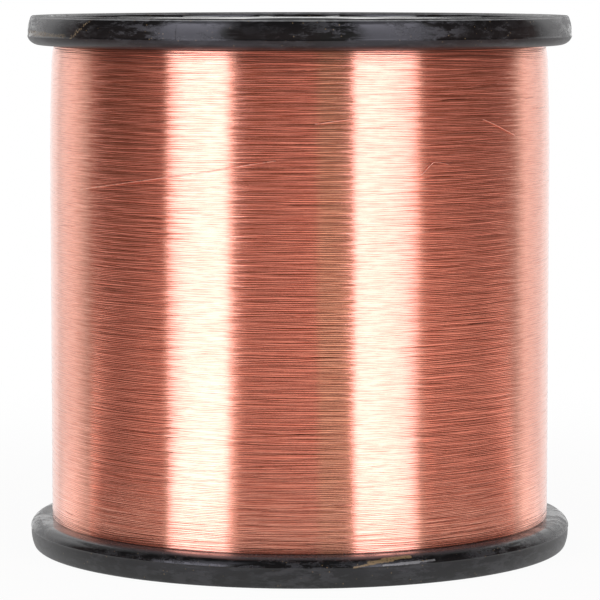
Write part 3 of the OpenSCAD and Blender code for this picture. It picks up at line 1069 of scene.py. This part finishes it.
def make_room(wire, stage):
    """The room, which only reflections see: floor, walls and a low ceiling.

    It is a fan of the rays that the winding mirrors, so that what it shows at a bearing
    stands upright in the winding.
    """
    count = len(ROOM_SECTION)
    vertices, bearings = [], []
    for i in range(ROOM_STEPS + 1):
        azimuth = ROOM_REACH * (2 * i / ROOM_STEPS - 1)
        start, along, bearing = mirrored_ray(wire, stage, azimuth)
        vertices += [start + out * along + Vector((0, 0, z)) for out, z, _, _ in ROOM_SECTION]
        bearings += [ramp_place(math.degrees(bearing))] * count
    room = new_piece("room", vertices, quads(ROOM_STEPS + 1, count, closed=False))
    shades = [part[2] for part in ROOM_SECTION] * (ROOM_STEPS + 1)
    glows = [part[3] for part in ROOM_SECTION] * (ROOM_STEPS + 1)
    carry(room.data, "POINT", bearing=bearings, shade=shades, glow=glows)
    material, nodes = new_material("room")
    bearing, shade, glow = (nodes.attribute(title) for title in ("bearing", "shade", "glow"))
    brightest = max(level for _, level in ROOM)
    share = add_ramp(nodes, bearing, [(degrees, level / brightest) for degrees, level in ROOM])
    level = nodes.times(share, brightest * stage.room_glow)
    lit = nodes.ramp(level, *PALE)
    plain = add_ramp(nodes, bearing, PLAIN_WALL)
    tint = nodes.mix(plain, rgba(stage.room_tint), rgba(stage.plain_tint))
    tint = nodes.mix(lit, tint, rgba(stage.side_tint))
    tint = nodes.mix(nodes.ramp(level, *BRIGHT), tint, rgba(stage.softbox_tint))
    lift = nodes.times(lit, nodes.math("SUBTRACT", glow, shade))
    level = nodes.times(level, nodes.plus(shade, lift))
    finish_material(nodes, nodes.add("Emission", {"Color": tint, "Strength": level}))
    room.data.materials.append(material)
    room.visible_camera = False
    room.visible_diffuse = False
    room.visible_shadow = False
    room.visible_transmission = False


def ramp_place(degrees):
    """A bearing's place on a ramp that runs from 0 at -180 degrees to 1 at 180 degrees."""
    return 0.5 + degrees / 360.0


def add_ramp(nodes, value, stops):
    """A straight ramp through (bearing in degrees, brightness) stops."""
    made = nodes.add("ValToRGB", {"Fac": value})
    ramp = made.color_ramp
    while len(ramp.elements) < len(stops):
        ramp.elements.new(1.0)
    for element, (degrees, level) in zip(ramp.elements, stops):
        element.position = ramp_place(degrees)
        element.color = (level, level, level, 1.0)
    return made.outputs["Color"]


def make_softbox(name, stage, start, stop):
    """A softbox's lamp, as wide as an arc of azimuths. Reflections show the room's softbox."""
    middle, half = (start + stop) / 2, (stop - start) / 2
    near = stage.softbox_distance
    lamp = bpy.data.lights.new(name, "AREA")
    lamp.shape = "RECTANGLE"
    lamp.size = 2 * near * math.tan(half)
    lamp.size_y = stage.softbox_top
    area = lamp.size * lamp.size_y
    lamp.energy = 4.0 * area * stage.softbox_radiance  # the lamp's radiance is energy / (4 area)
    made = link(name, lamp)
    made.location = on_cylinder(near, middle, stage.softbox_top / 2)
    made.rotation_euler = (math.pi / 2, 0, middle)
    made.visible_glossy = False


def make_world(stage):
    """A white backdrop for what the camera and the reflections see, and an even fill."""
    world = bpy.data.worlds.new("studio")
    world.use_nodes = True
    bpy.context.scene.world = world
    nodes = Nodes(world.node_tree)
    strength = nodes.plus(stage.fill, nodes.times(nodes.seen(), 1.0 - stage.fill))
    shader = nodes.add("Background", {"Color": (1, 1, 1, 1), "Strength": strength})
    nodes.add("OutputWorld", {"Surface": shader.outputs[0]})


def make_camera(stage):
    """The camera, a little above the upper flange and looking slightly down."""
    camera = bpy.data.cameras.new("camera")
    camera.sensor_width = 36.0
    camera.lens = stage.camera_lens
    camera.shift_x = stage.camera_shift
    made = link("camera", camera)
    made.location = (0, -stage.camera_distance, stage.camera_height)
    made.rotation_euler = (math.pi / 2 - stage.camera_pitch, 0, 0)
    bpy.context.scene.camera = made


class REEL_OT_stage(bpy.types.Operator):
    """Set up the floor, the backdrop, the lamps and the camera"""

    bl_idname = "reel.stage"
    bl_label = "Stage"

    def execute(self, context):
        _, wire, _, stage = settings()
        make_camera(stage)
        make_world(stage)
        make_floor(stage)
        make_room(wire, stage)
        make_softbox("left_softbox", stage, stage.left_from, stage.left_to)
        make_softbox("right_softbox", stage, stage.right_from, stage.right_to)
        bpy.context.scene.view_settings.view_transform = "Standard"
        return {"FINISHED"}


# --- Add-on ---

OPERATORS = (
    REEL_OT_stage,
    REEL_OT_flanges,
    REEL_OT_hub,
    REEL_OT_winding,
    REEL_OT_loose_wire,
)
GROUPS = {
    "reel_sizes": ReelSizes,
    "wire_sizes": WindingSizes,
    "reel_colours": ReelColours,
    "reel_stage": StageSettings,
}


class REEL_PT_panel(bpy.types.Panel):
    """Sidebar panel of the wire reel"""

    bl_label = "Wire reel"
    bl_space_type = "VIEW_3D"
    bl_region_type = "UI"
    bl_category = "Wire reel"

    def draw(self, context):
        for operator in OPERATORS:
            self.layout.operator(operator.bl_idname)
        for group_name, group in GROUPS.items():
            box = self.layout.box()
            box.label(text=group.__doc__)
            for prop in group.__annotations__:
                box.prop(getattr(context.scene, group_name), prop)


def register():
    """Registers the settings, the operators and the panel."""
    for group_name, group in GROUPS.items():
        bpy.utils.register_class(group)
        setattr(bpy.types.Scene, group_name, PointerProperty(type=group))
    for operator in OPERATORS:
        bpy.utils.register_class(operator)
    bpy.utils.register_class(REEL_PT_panel)


def unregister():
    """Takes them all out again."""
    bpy.utils.unregister_class(REEL_PT_panel)
    for operator in reversed(OPERATORS):
        bpy.utils.unregister_class(operator)
    for group_name, group in reversed(GROUPS.items()):
        delattr(bpy.types.Scene, group_name)
        bpy.utils.unregister_class(group)


def main():
    register()
    bpy.ops.reel.stage()
    bpy.ops.reel.flanges()
    bpy.ops.reel.hub()
    bpy.ops.reel.winding()
    bpy.ops.reel.loose_wire()


if __name__ == "__main__":
    main()
